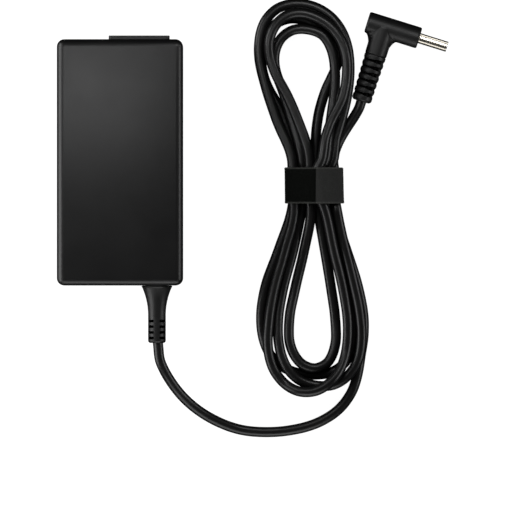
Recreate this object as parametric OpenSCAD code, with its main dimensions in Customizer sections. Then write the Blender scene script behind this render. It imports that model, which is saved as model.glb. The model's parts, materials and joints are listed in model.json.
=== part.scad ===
// Laptop power adapter with its wound output cable, cable strap and right-angle barrel plug.
// The origin is the centre of the case's resting face. +Z is up, +Y points at the mains inlet.
// The cable lies on the same surface that the case rests on.

/* [Case] */
// Width of the case across the cable end
case_w = 54; // [50:1:60]
// Length of the case from the cable end to the inlet end
case_l = 105.5; // [104:0.5:110]
// Height of the case
case_h = 29; // [28:0.5:31]
// Radius of the case's rounded edges and corners
case_r = 3.2; // [2.6:0.1:3.6]
// Thickness of the case walls
wall = 2.2; // [1.8:0.1:2.4]

/* [Mains inlet] */
// Distance of the inlet from the case's centre line
inlet_x = 8.2; // [4:0.1:9]
// Width of the collar around the inlet
collar_w = 26; // [25:0.5:27]
// Height of the collar around the inlet
collar_h = 20; // [19:0.5:21]
// How far the collar stands out of the end wall
collar_t = 1.6; // [1:0.1:2.5]
// Spacing of the live and neutral pins
pin_pitch = 10; // [9.5:0.1:10]
// Diameter of the three round mains pins
pin_d = 2.4; // [2.2:0.1:2.4]

/* [Cable] */
// Diameter of the cable's jacket
cable_d = 4; // [3.8:0.1:4]
// Distance of the cable and its boot from the case's centre line
boot_x = 15.8; // [13:0.1:16]
// Length of the boot outside the case
boot_l = 24.6; // [23:0.2:26]
// Diameter of the boot along its slotted part
boot_d = 7.6; // [6.6:0.1:8]
// Diameter of the boot where it meets the case
boot_root_d = 13.4; // [11:0.1:14]
// Longest distance between two rings of the cable's surface
ring_step = 5.5; // [5:0.5:8]

/* [Strap] */
// Width of the hook-and-loop strap along the cable
strap_w = 15.5; // [12:0.5:18]
// Thickness of the strap
strap_t = 1; // [0.8:0.1:1.2]

/* [Plug] */
// Angle of the barrel below the +X direction
plug_turn = 17.3; // [15:0.1:20]
// Diameter of the plug's moulded arm
arm_d = 9.3; // [8:0.1:10]
// Length of the plug's moulded arm
arm_l = 23.5; // [22:0.5:25]
// Outside diameter of the barrel
barrel_d = 4.5; // [4.5:0.1:5.5]
// Length of the barrel outside the arm
barrel_l = 12.5; // [11:0.5:13]
// Number of ribs on the plug's strain relief
rib_count = 7; // [5:1:8]

/* [Hidden] */

$fn = 48;
gap = 0.1;
// How far two solids that are joined to each other reach into one another
overlap = 0.5;
half_w = case_w / 2;
half_l = case_l / 2;
mid_z = case_h / 2;

// Inside of the case
inner_w = case_w - 2 * wall;
inner_l = case_l - 2 * wall;
inner_h = case_h - 2 * wall;
lip_t = 1;
lip_h = 1.5;
label_size = [38, 62, 0.3];

// Circuit board and what stands on it
board = [46.5, 83, 1.6];
board_y = -5.5;
board_z = 5.2;
deck_z = board_z + board[2];
post_xy = [[-21, -44], [21, -44], [-21, 33], [21, 33]];
post_d = 3.2;
post_hole_d = 1.2;
sheet_t = 0.4;
spreader_t = 0.5;
top_spreader = [45, 82];
bottom_spreader = [35, 78];
heatsink_t = 1.8;
heatsink_h = 18;
screw_d = 2.9;
screw_z = deck_z + 14.5;
primary_heatsink_xy = [-21.5, -22];
secondary_heatsink_xy = [21.5, -31];
bulk_d = 17;
bulk_l = 30;
bulk_xy = [12.5, 3];
choke_xy = [-9.6, 10];
transformer_xy = [-3, -25];

// Plug: its elbow is placed from the strap's centre, and the stem points back along the cable.
// Its lowest line lies just above the table.
plug_at = [31.1, 68];
arm_back = 7.7;
skirt_l = 12.7;
rib_pitch = 2.95;
stem_l = skirt_l + rib_count * rib_pitch;
// Radii of the stem at the arm, where the ribs start and at the cable
stem_r = [4.85, 4.7, 4.3];
plug_z = max(arm_d / 2, stem_r[0]) + gap;
function on_stem(s) = plug_at + s * [-sin(plug_turn), -cos(plug_turn)];

// Cable: the strap's centre is the origin of every cable point, and z is counted in cable diameters
// above the lowest layer
strap_at = [82.3, -9.8];
cable_r = cable_d / 2;
rings_n = 10;
layer_h = cable_d + 0.15;
lift_reach = 24;
strap_clear = 1;
// The smooth curve dips a little between its points, so its lowest points stay this far above the table
dip_clear = 0.14;
jacket = "#161616";

// From inside the case through the boot to the place where the lead bends
function layers_up(z) = (z - cable_r - dip_clear) / layer_h;
boot_points = [for (y = [6, -14, -boot_l + 0.6])
    [boot_x - strap_at[0], -half_l + y - strap_at[1], layers_up(mid_z)]];
lead_bend = [-65.2, -75, 2.9];
// Round the front of the table and up to the strap
lead_points = [
    [-60.8, -83.8, 2.3], [-52.5, -93.6, 1.3], [-41.7, -100.9, 0.5], [-31, -104.9, 0.05], [-19, -106, 0],
    [-8, -105, 0], [2.5, -102, 0], [12, -95.8, 0], [17.5, -88, 0], [19.9, -80, 0], [21, -73, 0],
    [22.1, -66, 0], [22.3, -57.5, 0], [20.2, -45, 0], [14.9, -27.8, 0], [12.4, -20.5, 0],
    [8.4, -10.6, 0]
];
// Each bight is one turn of the cable from the strap, round the end of the coil and back to it
upper_outer = [
    [5.1, 0, 0], [6.6, 5.5, 0.8], [9.2, 10.9, 1], [10.3, 19.5, 0.95], [12.7, 28.1, 0.9],
    [14.8, 36.7, 0.9], [16.2, 50, 0.95], [15.4, 59, 1], [13.3, 65.3, 1], [9.2, 71.4, 1], [2.8, 76, 1],
    [-6.5, 78.1, 1], [-14.8, 76, 1], [-20, 70.7, 1], [-22.5, 62.5, 1], [-22.5, 54, 1], [-20.6, 45.3, 1],
    [-15.1, 28.1, 1], [-8.5, 10.9, 1]
];
lower_front = [
    [-8.5, 0, 1], [-7.6, -10.6, 1], [-11.6, -27.8, 0.9], [-16.3, -45, 0.9], [-18.5, -59, 1],
    [-18.8, -70, 1], [-16.6, -78.6, 1], [-11.6, -85.2, 1.1], [-5.2, -88.5, 1.7], [1.7, -88.2, 2],
    [8.2, -84.2, 2], [12.7, -77.9, 1.5], [14.8, -70.8, 1], [15.5, -61, 1], [13.5, -45, 1],
    [9.4, -27.8, 1.33], [5.6, -10.6, 1.95]
];
upper_top = [
    [1.7, 0, 2.05], [1.6, 5.5, 2.5], [4.2, 10.9, 2.55], [5.6, 19.5, 2.5], [8.6, 28.1, 2.25],
    [12.9, 36.7, 2.2], [14.9, 46.5, 2], [14.6, 56, 2], [12, 63.3, 2], [7.5, 68.7, 2], [2, 72.2, 2],
    [-5.2, 74.1, 2], [-11.6, 72.5, 2], [-15.9, 68.3, 2], [-18.3, 62, 2], [-18.1, 55.6, 1.9],
    [-15.9, 48.7, 1.9], [-10.5, 38.4, 1.87], [-6.1, 28.1, 1.85], [-1, 10.9, 1.7]
];
lower_inner = [
    [-1, 5.5, 1.5], [-1.2, 0, 0.92], [-0.4, -10.6, 0.8], [-3.3, -27.8, 0.1], [-7.3, -45, 0],
    [-9.7, -58, 0.4], [-8.8, -70, 0.7], [-4.4, -76.6, 0.85], [1.3, -78.6, 0.85], [6.6, -76.2, 0.7],
    [9.8, -69.5, 0.4], [10.1, -58, 0], [8.4, -45, 0], [5.6, -27.8, 0], [2.6, -10.6, 0]
];
upper_lowest = [
    [0.9, 0, 0], [1.5, 10.9, 0], [1.8, 22, 0], [3.1, 31.5, 0], [6.3, 41.8, 0], [10.2, 50.3, 0],
    [11.5, 55.5, 0], [9.8, 60.5, 0], [5.6, 65.8, 0], [-0.9, 70.2, 0], [-9, 71.8, 0], [-15.9, 69.2, 0],
    [-20.2, 63, 0], [-21.8, 54, 0], [-19.8, 44.4, 0], [-14.2, 33.7, 0], [-8.7, 19.5, 0], [-5.2, 10.9, 0]
];
lower_lowest = [
    [-6.7, 5.5, 0], [-7.3, 0, 0], [-8.6, -10.6, 0], [-14.3, -27.8, 0], [-20.3, -45, 0], [-21.8, -57, 0],
    [-20.3, -67.5, 0], [-15.6, -75.7, 0], [-7.5, -80.2, 0], [1.3, -81.3, 0], [9.2, -79.9, 0],
    [14.6, -75.6, 0], [17.4, -69, 0], [18.1, -58, 0], [15.9, -45, 0], [10.7, -27.8, 0.2],
    [8.3, -19.2, 0.65], [6.7, -10.6, 0.95]
];
upper_inner = [
    [3.3, 0, 1.05], [3.2, 5.5, 1.45], [5.7, 10.9, 1.6], [6.9, 19.5, 1.5], [8.6, 31.5, 1.1],
    [9.8, 41, 1], [9.9, 50, 1], [8.2, 59, 1], [4.6, 64.6, 1], [-1.5, 67, 1], [-8, 66.8, 1],
    [-13.2, 63.2, 1], [-15.9, 57, 0.95], [-15.7, 50, 0.9], [-12.9, 41.8, 0.9], [-8.4, 28.1, 0.95],
    [-3.9, 10.9, 0.97]
];
lower_outer = [
    [-3.3, 5.5, 0.6], [-3.1, 0, 0], [-4.5, -10.6, 0], [-8, -27.8, 0], [-12.5, -45, 0],
    [-14.5, -58, 0.4], [-14, -69, 0.85], [-10.9, -78, 1], [-5.5, -83.5, 1], [2, -86, 1], [9, -85.7, 1],
    [15.4, -81.8, 1], [19.6, -75.5, 1], [21.3, -66, 1], [20.6, -55, 1], [17.6, -40.5, 1],
    [12.6, -20, 1.05], [10.7, -10.6, 1.3]
];
// Out of the strap to the plug
tail_points = [[9.3, 0, 0.3], [9.7, 5.5, 0], [9.2, 10.9, 0], [11.6, 18.8, 0]];
tail_bend = [16.4, 26.8, 0.1];
plug_points = [for (s = [3, -2, -12])
    let (v = on_stem(stem_l + s)) [v[0], v[1], layers_up(plug_z - strap_lift(v[1]))]];

cable_points = concat(
    boot_points, [lead_bend], lead_points, upper_outer, lower_front, upper_top, lower_inner,
    upper_lowest, lower_lowest, upper_inner, lower_outer, tail_points, [tail_bend], plug_points
);
lead_bend_i = len(boot_points);
tail_bend_i = len(cable_points) - len(plug_points) - 1;

// The strap raises the coil by a little more than its thickness, and the cable settles back on
// either side of it
function strap_lift(y) = (strap_t + strap_clear) * exp(-pow(y / lift_reach, 2));

// Cable points further from the strap than this towards the case belong to the lead, which the
// strap doesn't raise
lead_side_x = -40;

// A cable point in the frame of the whole adapter
function placed(p) = [
    p[0] + strap_at[0],
    p[1] + strap_at[1],
    cable_r + dip_clear + p[2] * layer_h + (p[0] > lead_side_x ? strap_lift(p[1]) : 0)
];

// Slope of the smooth curve at b, between its neighbours a and c
function slope(a, b, c) =
    let (before = norm(b - a), after = norm(c - b))
    ((b - a) * (after / before) + (c - b) * (before / after)) / (before + after);

// Point at fraction t of the way from b to c on the smooth curve through a, b, c and d
function curve_point(a, b, c, d, t) =
    let (
        span = norm(c - b),
        rest = 1 - t
    )
    b * (rest * rest * (1 + 2 * t)) + c * (t * t * (3 - 2 * t))
        + slope(a, b, c) * (span * t * rest * rest)
        - slope(b, c, d) * (span * t * t * rest);

// Centres of the rings along the curve from one control point to another
function curve(points, first, last) = [
    for (i = [first:last - 1])
        let (
            b = points[i],
            c = points[i + 1],
            a = i == 0 ? 2 * b - c : points[i - 1],
            d = i + 2 == len(points) ? 2 * c - b : points[i + 2],
            steps = ceil(norm(c - b) / ring_step)
        )
        for (k = [0:steps - 1]) curve_point(a, b, c, d, k / steps),
    points[last]
];

// ---- Shared shapes ----

// A box standing on z = 0, centred in x and y
module block(size) {
    translate([-size[0] / 2, -size[1] / 2, 0]) cube(size);
}

// A box with round corners in plan, standing on z = 0
module round_block(size, r) {
    linear_extrude(size[2]) square_rounded([size[0], size[1]], r);
}

// A rectangle with round corners, centred
module square_rounded(size, r) {
    square([size[0] - 2 * r, size[1]], center = true);
    square([size[0], size[1] - 2 * r], center = true);
    for (x = [-1, 1], y = [-1, 1])
        translate([x * (size[0] / 2 - r), y * (size[1] / 2 - r)]) circle(r);
}

// A flat ring or tube standing on z = 0
module tube(outer_r, inner_r, h) {
    difference() {
        cylinder(r = outer_r, h = h);
        translate([0, 0, -1]) cylinder(r = inner_r, h = h + 2);
    }
}

// Stands its children up so that their z axis points along +Y
module along_y() {
    rotate([-90, 0, 0]) children();
}

// Places a component on the circuit board's top face
module on_board(xy) {
    translate([xy[0], xy[1], deck_z]) children();
}

// Two straight wire legs below a component, on the given pitch along x
module legs(pitch, d, h) {
    for (side = [-1, 1]) translate([side * pitch / 2, 0, 0]) cylinder(d = d, h = h);
}

// A round disc component standing on its edge on two wire legs
module disc_component(disc_d, disc_t, disc_z, leg_pitch, leg_d) {
    translate([0, disc_t / 2, disc_z]) rotate([90, 0, 0]) cylinder(d = disc_d, h = disc_t);
    legs(leg_pitch, leg_d, disc_z - disc_d / 4);
}

// A power transistor's package with its metal tab, standing on its legs with the tab facing -X
tab_t = 1.3;
module power_package() {
    body = [4.4, 10, 8.4];
    leg_h = 3;
    leg_x = 2.6;
    leg_size = [0.5, 0.8, leg_h];
    leg_pitch = 2.54;
    tab_h = 6.2;
    translate([body[0] / 2, 0, leg_h]) block(body);
    difference() {
        translate([tab_t / 2, 0, leg_h + body[2]]) block([tab_t, body[1], tab_h]);
        translate([-1, 0, screw_z - deck_z]) rotate([0, 90, 0])
            cylinder(d = screw_d + 2 * gap, h = tab_t + 2);
    }
    for (side = [-1, 0, 1]) translate([leg_x, side * leg_pitch, 0]) block(leg_size);
}

// A closed tube along ring centres, with a small dome at each end
module swept_cable(rings) {
    last = len(rings) - 1;
    function heading(i) = rings[min(i + 1, last)] - rings[max(i - 1, 0)];
    function side(i) = let (t = heading(i), n = [-t[1], t[0], 0]) n / norm(n);
    function up(i) = let (u = cross(heading(i), side(i))) u / norm(u);
    function ring(i, r) = [
        for (k = [0:rings_n - 1])
            rings[i] + side(i) * (r * cos(360 * k / rings_n)) + up(i) * (r * sin(360 * k / rings_n))
    ];
    function cap(i, j) = let (t = rings[i] - rings[j]) rings[i] + t / norm(t) * (cable_r * 0.35);
    points = concat(
        [cap(0, 1)],
        [for (i = [0:last]) each ring(i, i == 0 || i == last ? cable_r * 0.8 : cable_r)],
        [cap(last, last - 1)]
    );
    function at(i, k) = 1 + i * rings_n + (k % rings_n);
    faces = concat(
        [for (k = [0:rings_n - 1]) [0, at(0, k), at(0, k + 1)]],
        [for (i = [0:last - 1], k = [0:rings_n - 1]) each [
            [at(i, k), at(i + 1, k), at(i + 1, k + 1)],
            [at(i, k), at(i + 1, k + 1), at(i, k + 1)]
        ]],
        [for (k = [0:rings_n - 1]) [len(points) - 1, at(last, k + 1), at(last, k)]]
    );
    polyhedron(points, faces, convexity = 10);
}

// ---- Case ----

// Outside of the closed case, with every edge and corner rounded
module case_outside() {
    edge = [
        for (a = [-90:15:0]) [case_r * cos(a), case_r + case_r * sin(a)],
        for (a = [0:15:90]) [case_r * cos(a), case_h - case_r + case_r * sin(a)]
    ];
    hull() {
        for (x = [-1, 1], y = [-1, 1])
            translate([x * (half_w - case_r), y * (half_l - case_r), 0])
                rotate_extrude($fn = 32) polygon(concat([[0, 0]], edge, [[0, case_h]]));
    }
}

// Openings through both end walls, shared by the two covers
module end_openings() {
    translate([inlet_x, half_l + 1, mid_z]) rotate([90, 0, 0])
        linear_extrude(wall + 2) square([neck_size[0] + 2 * gap, neck_size[1] + 2 * gap], center = true);
    translate([boot_x, -half_l - 1, mid_z]) along_y()
        cylinder(r = boot_neck_r + gap, h = wall + 2);
}
neck_size = [23.4, 17.4];
boot_neck_r = 4.6;

module top_cover() {
    color("#1b1b1c") difference() {
        union() {
            intersection() {
                case_outside();
                translate([0, 0, mid_z]) block([case_w + 2, case_l + 2, case_h]);
            }
            // tongue that locates the top cover in the bottom one
            translate([0, 0, mid_z - lip_h])
                block([inner_w + 2 * lip_t, inner_l + 2 * lip_t, lip_h + overlap]);
        }
        translate([0, 0, mid_z - lip_h - 1]) block([inner_w, inner_l, inner_h / 2 + lip_h + 1]);
        end_openings();
    }
}

module bottom_cover() {
    color("#18181a") difference() {
        union() {
            difference() {
                intersection() {
                    case_outside();
                    translate([0, 0, -1]) block([case_w + 2, case_l + 2, mid_z + 1]);
                }
                translate([0, 0, wall]) block([inner_w, inner_l, case_h]);
                // rebate for the top cover's tongue
                translate([0, 0, mid_z - lip_h - gap])
                    block([inner_w + 2 * (lip_t + gap), inner_l + 2 * (lip_t + gap), case_h]);
            }
            // posts that carry the circuit board
            for (p = post_xy)
                translate([p[0], p[1], wall - overlap])
                    cylinder(d = post_d, h = board_z - wall + overlap);
        }
        end_openings();
        // shallow recess for the rating label
        translate([0, 0, -1])
            block([label_size[0] + 2 * gap, label_size[1] + 2 * gap, 1 + label_size[2]]);
    }
}

module rating_label() {
    color("#6f7275") block([label_size[0], label_size[1], label_size[2] - gap]);
}

// ---- Mains inlet ----

// Positions of the three round pins, seen from the inlet end
inlet_pin_xz = [[-pin_pitch / 2, 2.2], [pin_pitch / 2, 2.2], [0, -4]];
lobe_r = 4.1;
recess_l = 12;
inlet_body = [25.4, 12.6, 18.4];
inlet_pin_l = 14.5;
inlet_pin_set_back = 4;
inlet_face_y = half_l + collar_t;

module at_inlet() {
    translate([inlet_x, inlet_face_y, mid_z]) children();
}

module ac_inlet_housing() {
    neck_l = wall + 2 * gap;
    collar_corner_r = 1.6;
    // The slot between the pins' lobes ends a little short of the lobes' top and bottom
    slot_h = 2 * (lobe_r + inlet_pin_xz[0][1] - 1.1);
    color("#0f0f10") at_inlet() difference() {
        union() {
            rotate([90, 0, 0]) linear_extrude(collar_t)
                square_rounded([collar_w, collar_h], collar_corner_r);
            translate([0, -collar_t - neck_l / 2, -neck_size[1] / 2])
                block([neck_size[0], neck_l, neck_size[1]]);
            translate([0, -collar_t - neck_l - inlet_body[1] / 2 + gap, -inlet_body[2] / 2])
                block(inlet_body);
        }
        // three-lobed recess for the mains connector
        translate([0, 1, 0]) rotate([90, 0, 0]) {
            for (p = inlet_pin_xz) translate([p[0], p[1], 0]) cylinder(r = lobe_r, h = recess_l + 1);
            translate([0, 0, (recess_l + 1) / 2])
                cube([pin_pitch, slot_h, recess_l + 1], center = true);
        }
        // holes that hold the pins in the back wall
        for (p = inlet_pin_xz)
            translate([p[0], 0, p[1]]) rotate([90, 0, 0])
                cylinder(d = pin_d + gap, h = 2 * (recess_l + inlet_body[1]));
    }
}

module inlet_pins() {
    tip_l = 0.4;
    tip_d = pin_d - 0.6;
    color("#c9c9c4") at_inlet()
        for (p = inlet_pin_xz) translate([p[0], -inlet_pin_set_back, p[1]]) rotate([90, 0, 0]) {
            translate([0, 0, tip_l]) cylinder(d = pin_d, h = inlet_pin_l - tip_l);
            cylinder(d = tip_d, h = tip_l);
        }
}

// Insulated wires from the backs of the pins down to the board
module mains_wires() {
    wire_r = 0.9;
    run = 1.5;
    back_y = inlet_face_y - inlet_pin_set_back - inlet_pin_l - gap;
    color("#3d4a7a") for (p = inlet_pin_xz) translate([inlet_x + p[0], back_y, mid_z + p[1]]) {
        rotate([90, 0, 0]) cylinder(r = wire_r, h = run);
        translate([0, -run, 0]) sphere(wire_r);
        translate([0, -run, deck_z - mid_z - p[1]]) cylinder(r = wire_r, h = mid_z + p[1] - deck_z);
    }
}

// ---- Board, sheets and heat spreaders ----

module circuit_board() {
    color("#1d5b34") difference() {
        translate([0, board_y, board_z]) block(board);
        for (p = post_xy)
            translate([p[0], p[1], board_z - 1]) cylinder(d = post_hole_d, h = board[2] + 2);
    }
}

module insulating_sheet() {
    color("#d8d2bd") translate([0, board_y, wall + spreader_t + 2 * gap])
        block([bottom_spreader[0], bottom_spreader[1], sheet_t]);
}

module bottom_heat_spreader() {
    color("#b9bcbf") translate([0, board_y, wall + gap / 2])
        block([bottom_spreader[0], bottom_spreader[1], spreader_t]);
}

// Folded plate over the components, with a flange down each long side
module top_heat_spreader() {
    flange_h = 9;
    top_z = wall + inner_h - gap;
    color("#b9bcbf") {
        translate([0, board_y, top_z - spreader_t])
            block([top_spreader[0], top_spreader[1], spreader_t]);
        for (x = [-1, 1])
            translate([x * (top_spreader[0] + spreader_t) / 2, board_y, top_z - flange_h])
                block([spreader_t, top_spreader[1], flange_h]);
    }
}

// Soft pad between the transformer and the top heat spreader
module thermal_pad() {
    pad = [20, 16];
    pad_z = deck_z + core_stand_off + core[2] + gap;
    pad_top_z = wall + inner_h - spreader_t - 1.5 * gap;
    color("#8fa3b8") translate([transformer_xy[0], transformer_xy[1], pad_z])
        block([pad[0], pad[1], pad_top_z - pad_z]);
}

// ---- Mains side of the board ----

// Round mains fuse standing on its legs
module fuse() {
    stand_off = 1;
    color("#7a4a2a") on_board([-16, 29]) {
        translate([0, 0, stand_off]) cylinder(d = 8.4, h = 7.6);
        legs(5, 0.6, stand_off + overlap / 2);
    }
}

module thermistor() {
    color("#2e6b3a") on_board([-6, 28])
        disc_component(disc_d = 9, disc_t = 4, disc_z = 7.5, leg_pitch = 5, leg_d = 0.7);
}

module x_capacitor() {
    box = [18, 8.5, 14.5];
    stand_off = 0.6;
    color("#c9a227") on_board([10, 28]) {
        translate([0, 0, stand_off]) round_block(box, r = 0.6);
        legs(15, 0.8, stand_off + overlap);
    }
}

// Ferrite core of the mains choke: an upright rectangular frame
choke_l = 20;
choke_stand_off = 0.5;
choke_h = 16.9;
choke_limb = 4.4;
choke_window_h = choke_h - 2 * choke_limb;
module choke_core() {
    color("#3a3a3c") on_board(choke_xy) translate([0, 0, choke_stand_off]) difference() {
        block([choke_l, choke_limb, choke_h]);
        translate([0, 0, choke_limb]) block([choke_l - 2 * choke_limb, choke_limb + 2, choke_window_h]);
    }
}

// One copper winding on each upright limb of the choke's core
module choke_windings() {
    coil_r = 4.9;
    hole = choke_limb + 2 * gap;
    color("#b5651d") on_board(choke_xy) for (x = [-1, 1])
        translate([x * (choke_l - choke_limb) / 2, 0, choke_stand_off + choke_limb + gap]) difference() {
            cylinder(r = coil_r, h = choke_window_h - 2 * gap);
            translate([0, 0, -1]) block([hole, hole, choke_window_h + 2]);
        }
}

// Flat bridge rectifier standing on its four legs
module bridge_rectifier() {
    body = [14.5, 3.4, 10.5];
    leg = [0.9, 0.6, 3];
    leg_pitch = 3.6;
    color("#242426") on_board([12, 21]) {
        translate([0, 0, leg[2]]) block(body);
        for (i = [-1.5:1.5]) translate([i * leg_pitch, 0, 0]) block(leg);
    }
}

// The large mains capacitor lies along the board, with a slightly smaller sealed end
module bulk_capacitor() {
    seal_l = 2;
    seal_d = bulk_d - 1.2;
    above_board = 0.4;
    color("#2b3f66") on_board(bulk_xy) translate([0, 0, bulk_d / 2 + above_board]) {
        translate([0, -bulk_l / 2, 0]) along_y() cylinder(d = bulk_d, h = bulk_l - seal_l);
        translate([0, bulk_l / 2 - seal_l, 0]) along_y() cylinder(d = seal_d, h = seal_l);
    }
}

// An upright aluminium plate with one screw hole in the middle of its length
module heatsink_plate(xy, plate_l) {
    color("#a7abb0") on_board(xy) difference() {
        block([heatsink_t, plate_l, heatsink_h]);
        translate([-heatsink_t, 0, screw_z - deck_z]) rotate([0, 90, 0])
            cylinder(d = screw_d + 2 * gap, h = 2 * heatsink_t);
    }
}

module primary_heatsink() {
    heatsink_plate(primary_heatsink_xy, 32);
}

module primary_transistor() {
    color("#1f1f21") on_board(primary_heatsink_xy) translate([(heatsink_t + gap) / 2, 0, 0])
        power_package();
}

// The two screws that clamp the transistor and the rectifier to their heatsinks
module heatsink_screws() {
    head_r = 2.6;
    head_h = 1.6;
    shank_l = heatsink_t + tab_t + gap;
    color("#9a9da2") for (side = [-1, 1])
        let (xy = side < 0 ? primary_heatsink_xy : secondary_heatsink_xy)
            translate([xy[0] - side * (heatsink_t / 2 + tab_t + gap), xy[1], screw_z])
                rotate([0, side * 90, 0]) {
                    translate([0, 0, -head_h]) cylinder(r = head_r, h = head_h);
                    cylinder(d = screw_d, h = shank_l);
                }
}

// ---- Transformer ----

// Size of the core, and its height above the board
core = [26, 14, 17.3];
core_stand_off = 0.3;
core_plate_t = 3.4;
core_leg_t = 3;
core_post_r = 5;
bobbin_h = core[2] - 2 * core_plate_t - 2 * gap;
bobbin_tube_r = core_post_r + 1.1;
bobbin_flange_r = 9.4;
bobbin_flange_t = 0.9;
winding_r = 9;

module at_transformer(z) {
    on_board(transformer_xy) translate([0, 0, core_stand_off + z]) children();
}

// Two facing ferrite halves: top and bottom plates, side legs and a round centre post
module transformer_core() {
    color("#37373a") at_transformer(0) {
        for (z = [0, core[2] - core_plate_t])
            translate([0, 0, z]) block([core[0], core[1], core_plate_t]);
        for (x = [-1, 1])
            translate([x * (core[0] - core_leg_t) / 2, 0, 0]) block([core_leg_t, core[1], core[2]]);
        cylinder(r = core_post_r, h = core[2]);
    }
}

module transformer_bobbin() {
    color("#c8c2a8") at_transformer(core_plate_t + gap) {
        tube(bobbin_tube_r, core_post_r + gap, bobbin_h);
        for (z = [0, bobbin_h - bobbin_flange_t])
            translate([0, 0, z]) tube(bobbin_flange_r, core_post_r + gap, bobbin_flange_t);
    }
}

module transformer_winding() {
    winding_h = bobbin_h - 2 * bobbin_flange_t - 2 * gap;
    color("#d6b93c") at_transformer(core_plate_t + bobbin_flange_t + 2 * gap)
        tube(winding_r, bobbin_tube_r + gap, winding_h);
}

// ---- Control and output side of the board ----

module y_capacitor() {
    color("#2f5fae") on_board([-3, -10])
        disc_component(disc_d = 8, disc_t = 3.6, disc_z = 6.2, leg_pitch = 6, leg_d = 0.6);
}

// A moulded body with a row of bent legs down each long side
module leaded_package(body, body_z, leg_w, leg_t, leg_out, foot_out, leg_pitch, leg_count) {
    shoulder_z = body_z + body[2] / 3;
    translate([0, 0, body_z]) block(body);
    for (side = [-1, 1], i = [0:leg_count - 1]) {
        y = (i - (leg_count - 1) / 2) * leg_pitch;
        leg_x = side * (body[0] / 2 + leg_out);
        // a short arm out of the body, the leg itself and the foot on the board
        translate([side * (body[0] / 2 + leg_out / 2), y, shoulder_z])
            block([leg_out + leg_t, leg_w, leg_t]);
        translate([leg_x, y, 0]) block([leg_t, leg_w, shoulder_z + leg_t]);
        translate([leg_x + side * foot_out / 2, y, 0]) block([leg_t + foot_out, leg_w, leg_t]);
    }
}

module optocoupler() {
    color("#202022") on_board([-18, -42])
        leaded_package(body = [6.4, 4.6, 3.4], body_z = 0.6, leg_w = 0.6, leg_t = 0.4,
            leg_out = 0.5, foot_out = 0.1, leg_pitch = 2.54, leg_count = 2);
}

module controller_chip() {
    color("#202022") on_board([-12, -2.5])
        leaded_package(body = [3.9, 4.9, 1.4], body_z = 0.2, leg_w = 0.4, leg_t = 0.2,
            leg_out = 0.4, foot_out = 0.5, leg_pitch = 1.27, leg_count = 4);
}

module secondary_heatsink() {
    heatsink_plate(secondary_heatsink_xy, 22);
}

module output_rectifier() {
    color("#1f1f21") on_board(secondary_heatsink_xy) translate([-(heatsink_t + gap) / 2, 0, 0])
        rotate([0, 0, 180]) power_package();
}

// Two smoothing capacitors, each a can with a narrower crimped top
module output_capacitors() {
    can_d = 8;
    can_h = 15;
    crimp_d = can_d - 0.8;
    crimp_h = 0.6;
    stand_off = 0.4;
    color("#3b2f57") for (p = [[-9, -41.5], [0, -41.5]]) on_board(p) {
        translate([0, 0, stand_off]) cylinder(d = can_d, h = can_h);
        translate([0, 0, stand_off + can_h]) cylinder(d = crimp_d, h = crimp_h);
        legs(3.5, 0.6, stand_off + gap);
    }
}

// Rod choke: a ferrite rod inside a copper winding
output_choke_xy = [8.2, -41.5];
output_choke_rod_r = 1.9;
module output_choke_core() {
    stand_off = 0.6;
    color("#3a3a3c") on_board(output_choke_xy) {
        translate([0, 0, stand_off]) cylinder(r = output_choke_rod_r, h = 11.4);
        legs(2.4, 0.6, stand_off + 2 * gap);
    }
}

module output_choke_winding() {
    color("#b5651d") on_board(output_choke_xy)
        translate([0, 0, 1.2]) tube(3.1, output_choke_rod_r + gap, 10);
}

// Two insulated wires from the end of the cable to the board
module output_wires() {
    wire_r = 0.75;
    start_y = -half_l + 7;
    run = 2.6;
    color("#b03a2e") for (x = [-1, 1]) translate([boot_x + x, start_y, mid_z]) {
        along_y() cylinder(r = wire_r, h = run);
        translate([0, run, 0]) sphere(wire_r);
        translate([0, run, deck_z - mid_z]) cylinder(r = wire_r, h = mid_z - deck_z);
    }
}

// ---- Cable and its boot ----

// Pulls the first and last ring back from a bend, so that the parts of the cable stay apart there
function drawn_back(rings, at_start, at_end) =
    let (
        n = len(rings) - 1,
        first = rings[1] - rings[0],
        last = rings[n - 1] - rings[n]
    )
    [for (i = [0:n])
        i == 0 ? rings[0] + first / norm(first) * at_start
        : i == n ? rings[n] + last / norm(last) * at_end
        : rings[i]];

bend_gap = 1.5;
control = [for (p = cable_points) placed(p)];

module cable_lead() {
    color(jacket) swept_cable(drawn_back(curve(control, 0, lead_bend_i), 0, bend_gap));
}

module cable_coil() {
    color(jacket) swept_cable(drawn_back(curve(control, lead_bend_i, tail_bend_i), bend_gap, bend_gap));
}

module cable_tail() {
    color(jacket) swept_cable(drawn_back(curve(control, tail_bend_i, len(control) - 1), bend_gap, 0));
}

// Bore of both strain reliefs, a loose fit round the cable
sleeve_bore_r = cable_r + 0.15;

// A strain relief along +Z with a flaring root, and windows in its top and bottom that end at the two
// side rails. A spine down the middle parts each window in two.
module slotted_sleeve(length, root_r, end_r, flare_l, slot_w, places, spine_w, floor_r) {
    side_share = 0.88;
    tip = 0.9;
    flare = [for (t = [0:0.1:1]) [end_r + (root_r - end_r) * pow(1 - t, 2), flare_l * t]];
    difference() {
        rotate_extrude() polygon(concat(
            [[sleeve_bore_r, 0]], flare,
            [[end_r, length - tip], [end_r - 0.8 * tip, length], [sleeve_bore_r, length]]
        ));
        for (z = places) translate([0, 0, z - slot_w / 2]) intersection() {
            tube(root_r + 1, floor_r, slot_w);
            difference() {
                block([2 * side_share * end_r, 3 * root_r, slot_w]);
                if (spine_w > 0) translate([0, 0, -1]) block([spine_w, 4 * root_r, slot_w + 2]);
            }
        }
    }
}

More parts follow.
